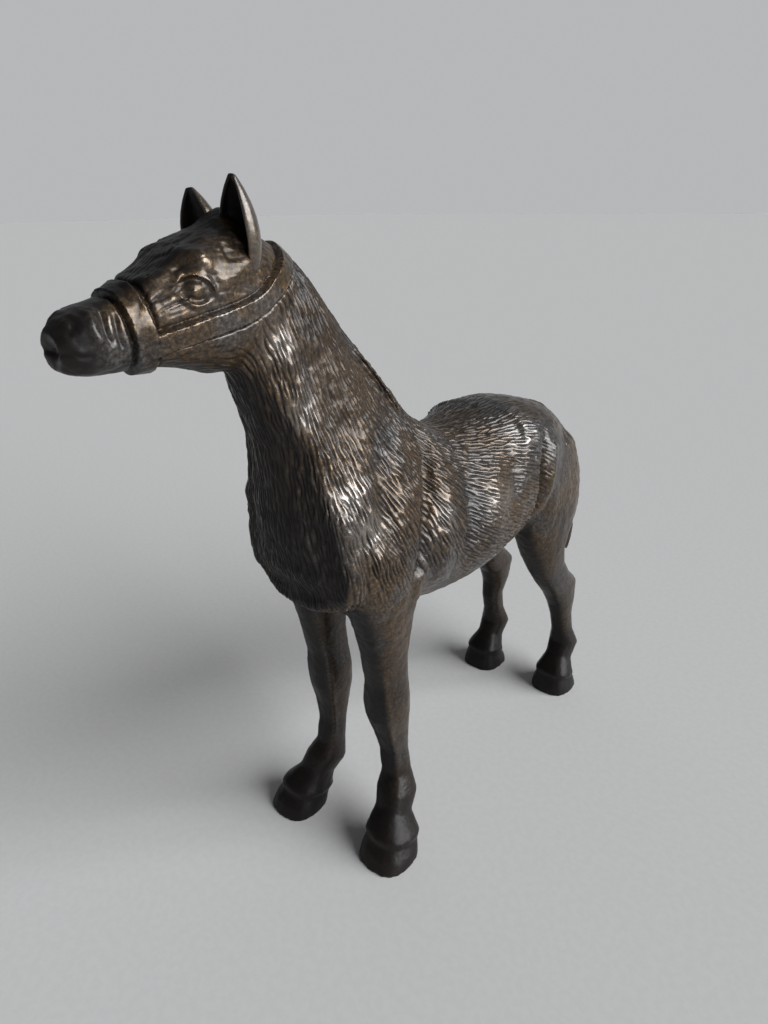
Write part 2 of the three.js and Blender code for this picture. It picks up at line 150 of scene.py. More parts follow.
class Skin:
    """A closed mesh of four-sided faces, in millimetres, held as arrays."""

    def __init__(self, points, quads, casting=None):
        self.points = points
        self.quads = quads
        self.casting = casting
        sides = np.concatenate([quads[:, [i, (i + 1) % 4]] for i in range(4)])
        self.edges = np.unique(np.sort(sides, axis=1), axis=0)
        self.degree = np.bincount(self.edges.ravel(), minlength=len(points))

    def average(self, values):
        """The mean of the values at each point's neighbours."""
        a, b = self.edges.T
        flat = values.reshape(len(values), -1)
        total = np.stack([
            np.bincount(a, column[b], len(values)) + np.bincount(b, column[a], len(values))
            for column in flat.T
        ], axis=1)
        return (total / self.degree[:, None]).reshape(values.shape)

    def normals(self):
        corners = self.points[self.quads]
        across = np.cross(corners[:, 2] - corners[:, 0], corners[:, 3] - corners[:, 1])
        total = np.zeros_like(self.points)
        for axis in range(3):
            total[:, axis] = np.bincount(
                self.quads.ravel(), np.repeat(across[:, axis], 4), len(self.points))
        return unit(total)

    def smooth(self, rounds, weight=1.0):
        """Relax the skin. The weight may differ from point to point."""
        share = 0.6 * np.broadcast_to(weight, len(self.points))[:, None]
        for _ in range(rounds):
            self.points += (self.average(self.points) - self.points) * share

    def blurred(self, values, rounds):
        for _ in range(rounds):
            values = 0.5 * values + 0.5 * self.average(values)
        return values


def mesh_from(name, points, faces):
    """A mesh with the given points, in millimetres, and faces."""
    mesh = bpy.data.meshes.new(name)
    mesh.from_pydata((points * MM + ORIGIN).tolist(), [], [list(map(int, f)) for f in faces])
    return mesh


def quads_of(mesh):
    """The points, in millimetres, and the four-sided faces of a mesh."""
    points = np.empty(len(mesh.vertices) * 3, np.float32)
    mesh.vertices.foreach_get("co", points)
    quads = np.empty(len(mesh.loops), np.int32)
    mesh.loops.foreach_get("vertex_index", quads)
    return (points.reshape(-1, 3).astype(float) - ORIGIN) / MM, quads.reshape(-1, 4)


def with_modifier(mesh, kind, settings):
    """The mesh that a modifier makes of a mesh."""
    obj = bpy.data.objects.new("work", mesh)
    bpy.context.scene.collection.objects.link(obj)
    modifier = obj.modifiers.new(kind, kind)
    for key, value in settings.items():
        setattr(modifier, key, value)
    graph = bpy.context.evaluated_depsgraph_get()
    made = bpy.data.meshes.new_from_object(obj.evaluated_get(graph))
    bpy.data.objects.remove(obj)
    return made


def largest_island(points, quads):
    """The part of a mesh with the most faces, without what isn't joined to it."""
    label = np.arange(len(points))
    sides = np.concatenate([quads[:, [i, (i + 1) % 4]] for i in range(4)])
    while True:
        before = label.copy()
        low = np.minimum(label[sides[:, 0]], label[sides[:, 1]])
        np.minimum.at(label, sides[:, 0], low)
        np.minimum.at(label, sides[:, 1], low)
        label = label[label]
        if (label == before).all():
            break
    main = np.bincount(label[quads[:, 0]]).argmax()
    kept = label == main
    number = np.cumsum(kept) - 1
    return points[kept], number[quads[kept[quads[:, 0]]]]


def casting_triangles():
    """Points and triangles of the CAD castings together, and the casting of each triangle."""
    points, triangles, owner = [], [], []
    first = 0
    for number, name in enumerate(CASTINGS):
        mesh = frame["nodes"][name].data
        mesh.calc_loop_triangles()
        for vertex in mesh.vertices:
            grown = np.array(vertex.co) + np.array(vertex.normal) * GROWTH * MM
            points.append((grown - ORIGIN) / MM)
        for triangle in mesh.loop_triangles:
            triangles.append([first + v for v in triangle.vertices])
            owner.append(number)
        first += len(mesh.vertices)
    return np.array(points), triangles, np.array(owner)


def joined_form():
    """The castings as one closed skin of even grain."""
    points, triangles, owner = casting_triangles()
    joined = mesh_from("joined", points, triangles)
    even = with_modifier(joined, "REMESH", {"mode": "VOXEL", "voxel_size": GRAIN * MM})
    skin = Skin(*largest_island(*quads_of(even)))
    tree = BVHTree.FromPolygons([Vector(p) for p in points], triangles)
    centres = skin.points[skin.quads].mean(axis=1)
    skin.casting = np.array([owner[tree.find_nearest(Vector(c))[2]] for c in centres])
    return skin


def finer(skin):
    """The skin with each face parted into four."""
    mesh = mesh_from("coarse", skin.points, skin.quads)
    made = with_modifier(mesh, "SUBSURF", {"levels": 1, "render_levels": 1})
    points, quads = quads_of(made)
    return Skin(points, quads, np.repeat(skin.casting, 4))


# --- Strokes ---------------------------------------------------------------------------------


VIEWS = {"side": [1, 2], "front": [0, 2], "space": [0, 1, 2]}
FACING = (-0.1, 0.35)  # a stroke starts to count, and counts fully, as the skin turns to its view
STROKE_REACH = 2.6  # how many of its widths away a stroke is still felt
STROKE_FADE = 0.3  # the share of its path over which each end of a stroke fades
STROKE_PAST = 0.1  # how far past its path a stroke would fade to nothing


def facing(normals, view, side):
    """How much each point belongs to a view: the left or right side, or the front."""
    if view == "side":
        return smoothstep(*FACING, normals[:, 0] * side)
    if view == "front":
        return smoothstep(*FACING, -normals[:, 1])
    return np.ones(len(normals))


def stroke(skin, path, width, height, view="side"):
    """Raise the skin along a path, or cut into it with a negative height.

    The path is drawn on a view of the horse, and on the side view it counts for both sides.
    A stroke is rounded and fades towards its ends. The result is its share at each point.
    """
    line = curve(path)
    normals = skin.normals()
    places = skin.points[:, VIEWS[view]]
    reach = width * STROKE_REACH
    near = np.all((places > line.min(0) - reach) & (places < line.max(0) + reach), axis=1)
    index = np.flatnonzero(near)
    gap, along = distance_to(line, places[index])
    shape = np.exp(-(gap / width) ** 2)
    shape *= smoothstep(0, STROKE_FADE, along + STROKE_PAST)
    shape *= smoothstep(0, STROKE_FADE, 1 + STROKE_PAST - along)
    share = np.zeros(len(skin.points))
    for side in SIDES if view == "side" else (1,):
        share[index] += shape * facing(normals[index], view, side)
    share = np.clip(share, 0, 1)
    skin.points += normals * (share * height)[:, None]
    return share


def bump(skin, place, width, height):
    """Raise the skin round a place on both sides, or sink it with a negative height."""
    for side in SIDES:
        gap = np.linalg.norm(skin.points - np.array(place) * (side, 1, 1), axis=1)
        skin.points += skin.normals() * (np.exp(-(gap / width) ** 2) * height)[:, None]


def pull(skin, place, radius, move):
    """Move the skin round a place, less and less out to the radius."""
    share = 1 - smoothstep(0, radius, np.linalg.norm(skin.points - np.array(place), axis=1))
    skin.points += share[:, None] * np.array(move)


# --- Modelling -------------------------------------------------------------------------------


FRONT_EDGE = [
    # height, how far out and how far forward the edge is, how far the front swells between
    (100, 20, -63, 5),
    (110, 19.8, -66, 5.5),
    (129, 17.8, -67.5, 6),
    (142, 14, -70.5, 5),
    (150, 12, -71.5, 5),
    (160, 10.5, -75.5, 4.5),
    (169, 8.5, -80, 4),
    (178, 6, -86, 3),
]
DEEPEST_CUT = 3.2  # less than the wall in front of the sleeve
FLATNESS = 0.85  # the share of the way to the plane that the front is moved


def flatten_front(skin):
    """The front of the neck and chest is one broad plane, hardly swelling, between two edges."""
    x, y, z = skin.points.T
    height, out, forward, swell = np.array(FRONT_EDGE).T
    edge = np.interp(z, height, out)
    front = np.interp(z, height, forward) - np.interp(z, height, swell) * (1 - (x / edge) ** 2)
    below_throat = smoothstep(176, 170, z) * smoothstep(-94, -90, y)
    share = smoothstep(98, 106, z) * below_throat
    skin.points[:, 1] += share * np.clip(FLATNESS * (front - y), 0, DEEPEST_CUT)


def model_trunk(skin):
    """Neck, shoulder, chest, barrel and haunch, from front to back."""
    flatten_front(skin)
    model_chest(skin)
    model_shoulder(skin)
    model_barrel(skin)
    model_haunch(skin)


def model_chest(skin):
    """The edges of the flat front, the overhang under it and the muscle behind its edge."""
    neck_edge = [(-81, 171), (-75.5, 160), (-71.5, 150), (-70.5, 142), (-68, 132)]
    chest_edge = [(-69.5, 136), (-67, 127), (-66, 114), (-64, 103)]
    overhang = [(-17, 107), (-9, 102), (0, 100.5), (9, 102), (17, 107)]
    under_overhang = [(-15, 99), (-8, 96), (0, 95), (8, 96), (15, 99)]
    neck_muscle = [(-79, 182), (-75, 168), (-70, 152), (-65, 138)]
    neck_hollow = [(-70, 176), (-64, 162), (-58, 149)]
    stroke(skin, neck_edge, 2.2, 1.4)
    stroke(skin, chest_edge, 3.4, 3.2)
    stroke(skin, overhang, 2.4, 1.4, view="front")
    stroke(skin, under_overhang, 1.8, -1.4, view="front")
    stroke(skin, neck_muscle, 3.2, 1.0)
    stroke(skin, neck_hollow, 4.5, -1.5)


def model_shoulder(skin):
    """Two muscles with a groove between them, and the groove behind the shoulder."""
    front = [(-62, 141), (-60, 128), (-57, 112)]
    blade = [(-38, 147), (-45, 134), (-50, 118)]
    between = [(-52, 146), (-54, 132), (-54, 116)]
    behind = [(-26, 144), (-33, 132), (-37, 122), (-40, 111), (-45, 101)]
    stroke(skin, front, 5.5, 2.0)
    stroke(skin, blade, 4.5, 1.2)
    stroke(skin, between, 2.6, -1.0)
    stroke(skin, behind, 2.6, -2.4)


def model_barrel(skin):
    """Two soft bands round the ribs, each with a hollow behind it."""
    front_band = [(-24, 132), (-28, 120), (-30, 106), (-27, 95)]
    front_hollow = [(-13, 131), (-17, 118), (-18, 104)]
    rear_band = [(-1, 129), (-4, 116), (-6, 100)]
    rear_hollow = [(10, 129), (8, 116), (7, 102)]
    stroke(skin, front_band, 4.2, 1.5)
    stroke(skin, front_hollow, 3.2, -1.3)
    stroke(skin, rear_band, 5.5, 1.2)
    stroke(skin, rear_hollow, 4, -1.2)


def model_haunch(skin):
    """Hip and thigh, and the deep fold of the flank in front of the thigh."""
    hip = [(18, 136), (27, 133)]
    flank_fold = [(31, 131), (28, 120), (28, 107), (26, 100)]
    behind_fold = [(36, 128), (34, 118), (33, 107), (31, 99)]
    thigh = [(40, 129), (38, 115), (40, 98)]
    stroke(skin, hip, 4.5, 2.2)
    stroke(skin, flank_fold, 1.7, -3.2)
    stroke(skin, behind_fold, 2.2, 1.2)
    stroke(skin, thigh, 5.5, 1.2)


FORELEG = [
    # height, middle of the leg, how far the edges lie beside it, and their place along
    # the horse
    (75, 13.5, 4.8, -52.4),
    (58, 13.0, 4.9, -50.4),
    (44.5, 13.3, 3.7, -47.6),
    (35, 13.8, 3.1, -45.4),
    (27, 14.6, 3.4, -46.0),
]
RIGHT_LEG_APART = 1  # how far the right foreleg stands out beside the left one
RIGHT_LEG_INWARD = 2  # how far its foot comes in again
RIGHT_LEG_STEP = 4.5  # how far its foot steps forward


def model_forelegs(skin):
    """Two edges run down the front of each foreleg. The right one steps forward."""
    for side in SIDES:
        for edge in SIDES:
            path = []
            for height, middle, beside, forward in FORELEG:
                step = smoothstep(55, 20, height) if side < 0 else 0
                apart = RIGHT_LEG_APART if side < 0 else 0
                across = side * (middle + apart - RIGHT_LEG_INWARD * step) + edge * beside
                path.append((across, forward - RIGHT_LEG_STEP * step, height))
            stroke(skin, path, 1.4, 0.8, view="space")


def model_head(skin):
    """Nose, brow, poll and cheek, then the eye and the muzzle."""
    nose_edge = [(-109, 193), (-104.5, 194.2), (-101, 196.5), (-97, 201)]
    brow_hollow = (8.5, -101.4, 195.8)
    brow = (9.8, -96.8, 197.2)
    poll = (0, -83.5, 204)
    cheek_bone = [(-95, 192.5), (-90, 194.5), (-84, 197.5)]
    temple = [(-92, 199), (-86, 201)]
    cheek = (9, -91, 182)
    stroke(skin, nose_edge, 1.3, 1.1)
    bump(skin, brow_hollow, 1.8, -1.8)
    bump(skin, brow, 2.7, 2.0)
    pull(skin, poll, 8, (0, 0, 3.2))
    stroke(skin, cheek_bone, 1.8, 0.7)
    stroke(skin, temple, 2, -0.7)
    bump(skin, cheek, 6, 0.7)
    eye(skin)
    muzzle(skin)


def eye(skin):
    """A ball in a socket, between an upper and a lower lid."""
    socket = (10.6, -99.4, 191.7)
    ball = (10.2, -99.6, 191.7)
    upper_lid = [(-103.6, 192.4), (-102, 194.2), (-99.4, 194.9), (-97, 193.8), (-94.8, 190.6)]
    under_lid = [(-102.8, 192.4), (-101.4, 193.4), (-99.2, 193.9), (-97.2, 192.9), (-95.8, 190.9)]
    lower_lid = [(-102.9, 191.4), (-101, 189.4), (-98.6, 188.7), (-96, 189.6)]
    above_lower_lid = [(-102.2, 191.5), (-100.8, 190.3), (-98.6, 189.7), (-96.7, 190.3)]
    bump(skin, socket, 3.2, -1.2)
    bump(skin, ball, 1.8, 2.2)
    stroke(skin, upper_lid, 0.8, 1.2)
    stroke(skin, under_lid, 0.45, -0.9)
    stroke(skin, lower_lid, 0.55, 0.8)
    stroke(skin, above_lower_lid, 0.36, -0.6)


def muzzle(skin):
    """A blunt, smooth muzzle with a short mouth, a faint nostril and folds behind them."""
    lips = [(-128, 182.2), (-125.5, 182), (-123, 181.2), (-121, 181.4)]
    nostril_rim = [(-121.2, 187.4), (-123, 189), (-125.6, 188)]
    nostril = [(-123, 187.2), (-124.4, 186.4), (-124.9, 185.2)]
    lip_corner = [(-119.6, 189.5), (-120.4, 186.5), (-119.4, 183.2)]
    front_fold = [(-117.6, 189.5), (-118, 186), (-117.4, 183)]
    rear_fold = [(-115.4, 189), (-115.6, 185), (-115, 181.5)]
    lower_lip = [(-119, 180.6), (-115.5, 178.6)]
    pull(skin, (0, -127, 181.8), 4.5, (0, 1.4, 0))
    stroke(skin, lips, 0.6, -0.45)
    stroke(skin, nostril_rim, 0.9, 0.3)
    stroke(skin, nostril, 0.7, -0.4)
    stroke(skin, lip_corner, 1.0, 0.8)
    stroke(skin, front_fold, 0.6, -0.8)
    stroke(skin, rear_fold, 0.6, -0.7)
    stroke(skin, lower_lip, 1.0, 0.5)


NOSEBAND = [(-112.6, 198), (-111.2, 188.9), (-109, 176), (-108.2, 170)]
CROWNPIECE = [
    (-110, 181), (-105, 182.3), (-96.7, 184.3), (-85, 187),
    (-79, 190), (-73.5, 193.6), (-69.3, 198), (-66.6, 204),
]
STRAP_WIDTH = 4.6
STRAP_HEIGHT = 1.1
GROOVE_WIDTH = 0.5
GROOVE_DEPTH = 0.9
SEAM_DEPTH = 0.12  # of the line where the noseband lies over the crownpiece


def model_halter(skin):
    """Two straps stand proud of the head, each between two grooves. The result is the share of
    each strap at each point."""
    normals = skin.normals()
    places = skin.points[:, 1:].copy()
    straps, grooves = {}, np.zeros(len(places))
    edge = STRAP_WIDTH / 2
    for name, path in (("halter_crownpiece", CROWNPIECE), ("halter_noseband", NOSEBAND)):
        gap, _ = distance_to(curve(path), places)
        straps[name] = 1 - smoothstep(edge - FLANK, edge + FLANK, gap)
        grooves = np.maximum(grooves, np.exp(-((gap - edge - FLANK) / GROOVE_WIDTH) ** 2))
    both = np.maximum(*straps.values())
    seam = np.exp(-((straps["halter_noseband"] - 0.5) / 0.3) ** 2) * both
    lift = both * STRAP_HEIGHT - grooves * (1 - both) * GROOVE_DEPTH
    lift -= SEAM_DEPTH * seam
    skin.points += normals * lift[:, None]
    straps["halter_crownpiece"] = both * (straps["halter_noseband"] < 0.5)
    return straps


CREST = [
    (0, -62.5, 195.5), (0, -53, 184.3), (0, -44.3, 173.8), (0, -35, 164.1), (0, -28.5, 156.7),
    (0, -26.2, 150.6),
]
STRANDS = [
    # how far a strand of the mane lies below the crest, and its height
    (1.2, -1.2),
    (2.2, 0.8),
    (3.2, -1.2),
    (4.4, 0.5),
    (5.4, -0.8),
]


def model_mane(skin):
    """A clipped ridge along the crest, with strands where it ends at the withers. The result is
    its share at each point."""
    share = stroke(skin, CREST, 2.2, 0.9, view="space")
    pull(skin, (0, -62.5, 196), 4, (0, 0.6, 0.8))
    for shift, height in STRANDS:
        strand = [(-44 - shift, 171), (-36 - shift, 161), (-30 - shift * 0.7, 151)]
        stroke(skin, strand, 0.55, height)
    return share


# --- Chasing ---------------------------------------------------------------------------------


COAT = [
    # a place on the left, and the way that the coat lies there
    ((9, -118, 185), (0, 1, 0.35)),
    ((9, -105, 190), (0, 1, 0.5)),
    ((9, -95, 190), (0, 1, 0.3)),
    ((9, -88, 200), (0, 1, -0.8)),
    ((0, -95, 205), (0, 1, 0)),
    ((9, -75, 180), (0, 0.15, -1)),
    ((10, -50, 175), (0, 0.45, -1)),
    ((16, -72, 150), (0, 0.2, -1)),
    ((16, -40, 150), (0, 0.5, -1)),
    ((18, -72, 125), (0, 0.3, -1)),
    ((22, -45, 125), (0, 0.55, -1)),
    ((24, -40, 105), (0, 0.5, -1)),
    ((24, -22, 130), (0, 0.8, -1)),
    ((26, -5, 130), (0, 1, -0.45)),
    ((26, 0, 110), (0, 1, -0.5)),
    ((25, 5, 90), (0, 1, -0.6)),
    ((25, 25, 125), (0, 1, -0.35)),
    ((24, 25, 100), (0, 1, -0.45)),
    ((22, 45, 128), (0, 0.6, -1)),
    ((20, 55, 115), (0, 0.1, -1)),
    ((16, 50, 90), (0, -0.1, -1)),
    ((10, 66, 110), (0, 0, -1)),
    ((10, -50, 80), (0, 0.1, -1)),
    ((8, -80, 120), (0.1, 0, -1)),
    ((14, -74, 105), (0.3, 0, -1)),
]
COAT_REACH = 14.0  # how far each of these is felt


def coat_direction(places):
    """The way that the coat lies at each place, before it is laid on the skin."""
    left = np.array(COAT, float)
    guides = np.vstack([left, left * (-1, 1, 1)])
    gap = np.linalg.norm(places[:, None] - guides[None, :, 0], axis=2)
    share = np.exp(-(gap / COAT_REACH) ** 2) + 1e-9
    return share @ unit(guides[:, 1]) / share.sum(axis=1, keepdims=True)


CUT_DEPTH = 0.5
FOLD_DEPTH = 0.3  # of the cuts in the folds before the eye and in the tail
LEAST_DEPTH = 0.03
CUTS_TRIED = 60000
CUT_SPACING = 0.85  # least gap between cuts side by side
CUT_STAGGER = 3.8  # least gap between cuts end to end
CUT_LENGTHS = (3.2, 5.2)
CUT_WIDTHS = (0.26, 0.38)
CUT_STRENGTHS = (0.7, 1.2)
CUT_TURN = 0.05  # how unevenly the cuts follow the coat
CUT_BEND = 0.03


def point_tree(points):
    tree = KDTree(len(points))
    for i, point in enumerate(points):
        tree.insert(point, i)
    tree.balance()
    return tree


def crowded(taken, cell, place, way, side):
    """Whether a cut at this place would lie too close to one that is made already."""
    for dx, dy, dz in product((-1, 0, 1), repeat=3):
        for other in taken.get((cell[0] + dx, cell[1] + dy, cell[2] + dz), ()):
            step = place - other
            if abs(step @ side) < CUT_SPACING and abs(step @ way) < CUT_STAGGER:
                return True
    return False


def chase(skin, rng, bare):
    """Cut short chisel strokes into the skin, side by side, along the coat. The result is how
    deep the skin is cut at each point."""
    normals = skin.normals()
    tree = point_tree(skin.points)
    depth_here = coat_depth(skin) * bare
    order = rng.permutation(len(skin.points))[:CUTS_TRIED]
    order = order[depth_here[order] > LEAST_DEPTH]
    ways = coat_direction(skin.points[order])
    ways += rng.normal(0, CUT_TURN, ways.shape)
    taken = {}
    cut = np.zeros(len(skin.points))
    for i, way in zip(order, ways):
        place, normal = skin.points[i], normals[i]
        way = way - normal * (way @ normal)
        way /= max(np.linalg.norm(way), 1e-9)
        side = np.cross(normal, way)
        cell = tuple((place // CUT_STAGGER).astype(int))
        if crowded(taken, cell, place, way, side):
            continue
        taken.setdefault(cell, []).append(place)
        length = rng.uniform(*CUT_LENGTHS)
        width = rng.uniform(*CUT_WIDTHS)
        bend = rng.normal(0, CUT_BEND)
        index = np.array([found[1] for found in tree.find_range(place, length)])
        step = skin.points[index] - place
        u = step @ way
        v = step @ side - bend * u**2
        shape = np.exp(-(v / width) ** 2) * np.clip(1 - (u / length) ** 2, 0, 1)
        deep = shape * depth_here[i] * rng.uniform(*CUT_STRENGTHS)
        cut[index] = np.maximum(cut[index], deep * bare[index])
    skin.points -= normals * cut[:, None]
    return cut


SMOOTH_PLACES = [
    # place on the left, and radius
    ((9, -60, 172), 11),
    ((13, -52, 160), 8),
    ((25, 6, 118), 9),
]
EYE_FOLDS = [(-107, 189.5), (-104.5, 190.5), (-102, 191.5)]


def casting_share(skin, name):
    """1 at the points of a casting, and 0 at the others."""
    share = np.zeros(len(skin.points))
    share[skin.quads[skin.casting == CASTINGS.index(name)]] = 1
    return share


def coat_depth(skin):
    """How deep the chisel goes at each point: deep on neck, shoulder and barrel, lightly on the
    head and the haunch, and not at all on the legs and the muzzle."""
    _, y, z = skin.points.T
    arm = smoothstep(-70, -62, y) * smoothstep(-12, -25, y)
    depth = CUT_DEPTH * smoothstep(88 + 12 * arm, 100 + 12 * arm, z)
    depth *= 1 - 0.8 * smoothstep(20, 36, y)
    for place, radius in SMOOTH_PLACES:
        for side in SIDES:
            gap = np.linalg.norm(skin.points - np.array(place) * (side, 1, 1), axis=1)
            depth *= 1 - 0.7 * np.exp(-(gap / radius) ** 2)
    head = casting_share(skin, "head_casting")
    depth *= 1 - 0.8 * skin.blurred(head, 12)
    depth *= 1 - smoothstep(-110, -114, y) * smoothstep(165, 170, z)
    gap, _ = distance_to(curve(EYE_FOLDS), skin.points[:, 1:])
    depth += FOLD_DEPTH * np.exp(-(gap / 2.2) ** 4) * head
    return np.maximum(depth, FOLD_DEPTH * casting_share(skin, "tail"))


# --- Parting into pieces ---------------------------------------------------------------------


def open_loops(local):
    """The loops of points along the open edge of some faces, in the order of their holes."""
    sides = np.concatenate([local[:, [i, (i + 1) % 4]] for i in range(4)]).astype(np.int64)
    count = local.max() + 1
    key = sides.min(axis=1) * count + sides.max(axis=1)
    _, first, uses = np.unique(key, return_index=True, return_counts=True)
    onward = {}
    for a, b in sides[first[uses == 1]].tolist():
        onward.setdefault(b, []).append(a)
    loops = []
    while onward:
        loop, here = [], next(iter(onward))
        while here in onward:
            loop.append(here)
            following = onward[here].pop()
            if not onward[here]:
                del onward[here]
            here = following
        loops.append(loop)
    return loops


def object_from(name, points, faces, loop_normals, marks):
    """An object with smooth shading from the given normals, one for each corner of a face."""
    mesh = mesh_from(name, points, faces)
    mesh.shade_smooth()
    mesh.normals_split_custom_set(loop_normals)
    for key, values in marks.items():
        attribute = mesh.attributes.new(key, "FLOAT", "POINT")
        attribute.data.foreach_set("value", values.astype(np.float32))
    obj = bpy.data.objects.new(name, mesh)
    bpy.context.scene.collection.objects.link(obj)
    return obj


def capped_piece(name, skin, faces, normals, sunk, marks):
    """A casting: some faces of the skin, with its cut ends closed."""
    used, local = np.unique(skin.quads[faces], return_inverse=True)
    local = local.reshape(-1, 4)
    points = (skin.points - sunk)[used]
    caps, centres = [], []
    for loop in open_loops(local):
        centre = len(points) + len(centres)
        centres.append(points[loop].mean(axis=0))
        caps += [[a, b, centre] for a, b in zip(loop, loop[1:] + loop[:1])]
    points = np.vstack([points, *centres])
    corners = points[np.array(caps, int).reshape(-1, 3)]
    flat = unit(np.cross(corners[:, 1] - corners[:, 0], corners[:, 2] - corners[:, 0]))
    loop_normals = np.vstack([normals[used][local.ravel()], np.repeat(flat, 3, axis=0)])
    values = {key: np.append(mark[used], np.zeros(len(centres))) for key, mark in marks.items()}
    return object_from(name, points, local.tolist() + caps, loop_normals, values)


def laid_piece(name, skin, faces, normals, backing, marks):
    """A strap or the mane: some faces of the skin, backed by a lining under them."""
    used, local = np.unique(skin.quads[faces], return_inverse=True)
    local = local.reshape(-1, 4)
    outer = skin.points[used]
    inner = outer - backing[used]
    count = len(used)
    rim = []
    for loop in open_loops(local):
        rim += [[a, b, b + count, a + count] for a, b in zip(loop, loop[1:] + loop[:1])]
    rim = np.array(rim)
    points = np.vstack([outer, inner])
    corners = points[rim]
    edge = unit(np.cross(corners[:, 2] - corners[:, 0], corners[:, 3] - corners[:, 1]))
    lining = local[:, ::-1] + count
    loop_normals = np.vstack([
        normals[used][local.ravel()], -normals[used][(lining - count).ravel()],
        np.repeat(edge, 4, axis=0)])
    faces = np.vstack([local, lining, rim]).tolist()
    values = {key: np.tile(mark[used], 2) for key, mark in marks.items()}
    return object_from(name, points, faces, loop_normals, values)


# --- Ears ------------------------------------------------------------------------------------


EAR_BASE = (6.2, -83.5, 195.0)
LEFT_TIP = (8.8, -86.4, 213.6)
RIGHT_TIP = (-7.4, -86, 211.4)
EAR_HALF_WIDTHS = [5.0, 5.8, 6.1, 6.0, 5.5, 4.5, 3.0, 1.0]  # from the base to the tip
EAR_BACK = 0.66  # how deep the back of the ear is, for each millimetre of half width
EAR_THICKNESS = 1.0
EAR_TURN = 0.1  # how far the hollows are turned towards each other
EAR_ROLL = math.radians(112)  # how far round its hollow each rim reaches, from the back
EAR_ROWS = 22
EAR_COLUMNS = 18
HOLLOW_OPENS = (0.08, 0.4)  # the stretch of the ear over which the hollow gets its full depth


def ear_section(along):
    """Points across and forward on a section of an ear: its outside, and back on its inside."""
    roll = np.linspace(-EAR_ROLL, EAR_ROLL, EAR_COLUMNS)
    half = np.interp(along, np.linspace(0, 1, len(EAR_HALF_WIDTHS)), EAR_HALF_WIDTHS)
    back = EAR_BACK * half
    thick = min(EAR_THICKNESS, half * 0.6)
    depth = smoothstep(*HOLLOW_OPENS, along)
    outer = np.stack([half * np.sin(roll), -back * np.cos(roll)], axis=1)
    hollow = np.stack([(half - thick) * np.sin(roll), -(back - thick) * np.cos(roll)], axis=1)
    plug = np.stack([(half - thick) * np.sin(roll), back * 0.35 + 0 * roll], axis=1)
    inner = (plug + (hollow - plug) * depth)[::-1]
    return np.vstack([outer, inner])


def ear_faces():
    """The faces between the sections of an ear, and over its two ends."""
    ring = 2 * EAR_COLUMNS
    faces = []
    for row in range(EAR_ROWS - 1):
        for column in range(ring):
            a, b = row * ring + column, row * ring + (column + 1) % ring
            faces.append([a, a + ring, b + ring, b])
    for first, turned in ((0, True), ((EAR_ROWS - 1) * ring, False)):
        for column in range(EAR_COLUMNS - 1):
            a, b = first + column, first + column + 1
            d, e = first + ring - 1 - column, first + ring - 2 - column
            faces.append([a, b, e, d] if turned else [a, d, e, b])
    return faces


def ear(side):
    """A pricked ear: a thick leaf that is rolled round a hollow in front. With it comes how far
    each point belongs to its outside."""
    base = np.array(EAR_BASE) * (side, 1, 1)
    tip = np.array(LEFT_TIP if side > 0 else RIGHT_TIP)
    up = unit(tip - base)
    opening = np.array([-EAR_TURN * side, -1, 0])
    forward = unit(opening - up * (up @ opening))
    sideways = np.cross(up, forward)
    points = []
    for along in np.linspace(0, 1, EAR_ROWS):
        middle = base + (tip - base) * along
        for s, f in ear_section(along):
            points.append(middle + sideways * s + forward * f)
    mesh = mesh_from("ear", np.array(points), ear_faces())
    mesh = with_modifier(mesh, "SUBSURF", {"levels": 2, "render_levels": 2})
    leaf = Skin(*quads_of(mesh))
    beside = leaf.points - base
    beside -= (beside @ up)[:, None] * up
    return leaf, smoothstep(-0.1, 0.4, (leaf.normals() * unit(beside)).sum(axis=1))


# --- Materials -------------------------------------------------------------------------------


